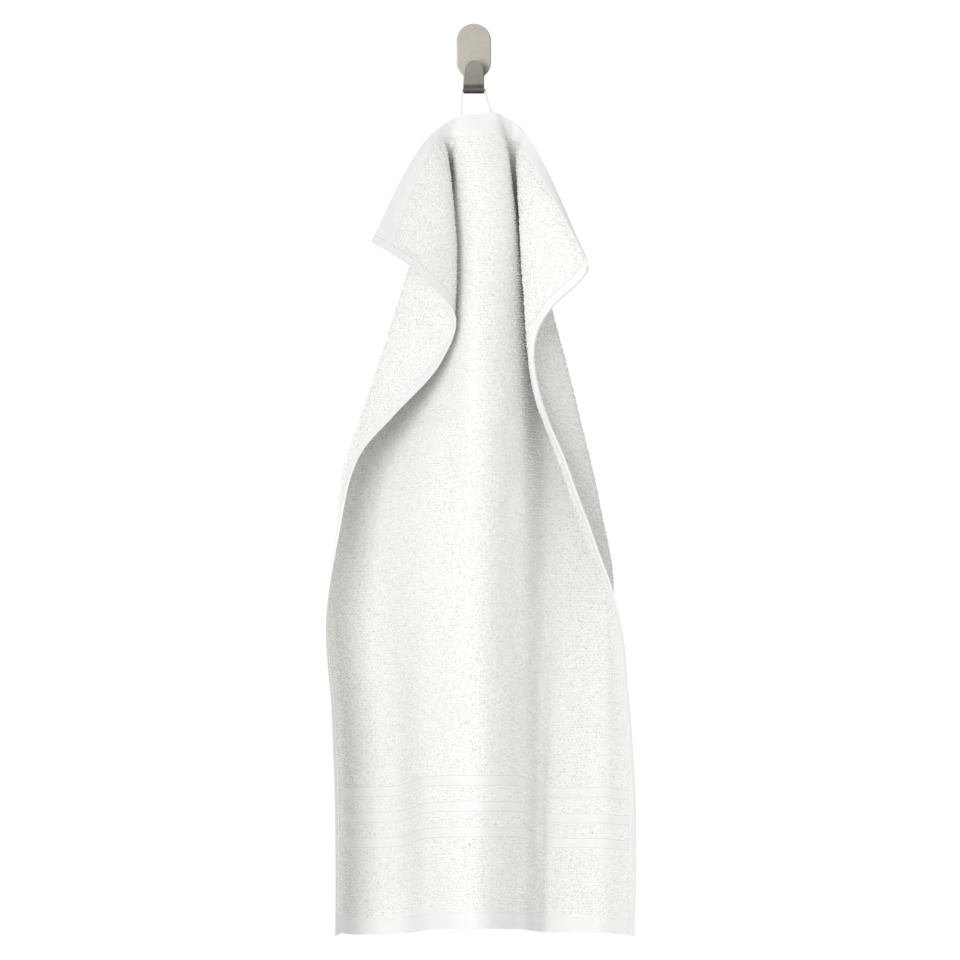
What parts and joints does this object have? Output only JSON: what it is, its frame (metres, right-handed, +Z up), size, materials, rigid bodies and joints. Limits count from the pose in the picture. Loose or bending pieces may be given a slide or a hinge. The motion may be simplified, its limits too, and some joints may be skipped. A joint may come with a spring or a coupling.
{
  "type": "hand towel hanging by its loop on a wall hook",
  "caption": "White terry hand towel with hemmed edges and a woven border, hung by a tape loop from a small bent metal wall hook, its sides falling forward in soft folds.",
  "frame": {"origin": "middle of the back of the hook's plate, on the wall plane", "axes": "+Z up, +Y into the wall, +X to the right of someone who faces the wall"},
  "size_m": [0.2667, 0.1186, 0.7872],
  "materials": {
    "terry": "white cotton terry with flat woven hems and border bands",
    "tape": "white cotton tape, plain weave",
    "steel": "satin stainless steel strip"
  },
  "bodies": {
    "root": {"towel_cloth": "terry", "hanging_loop": "tape", "hook": "steel"}
  },
  "joints": []
}
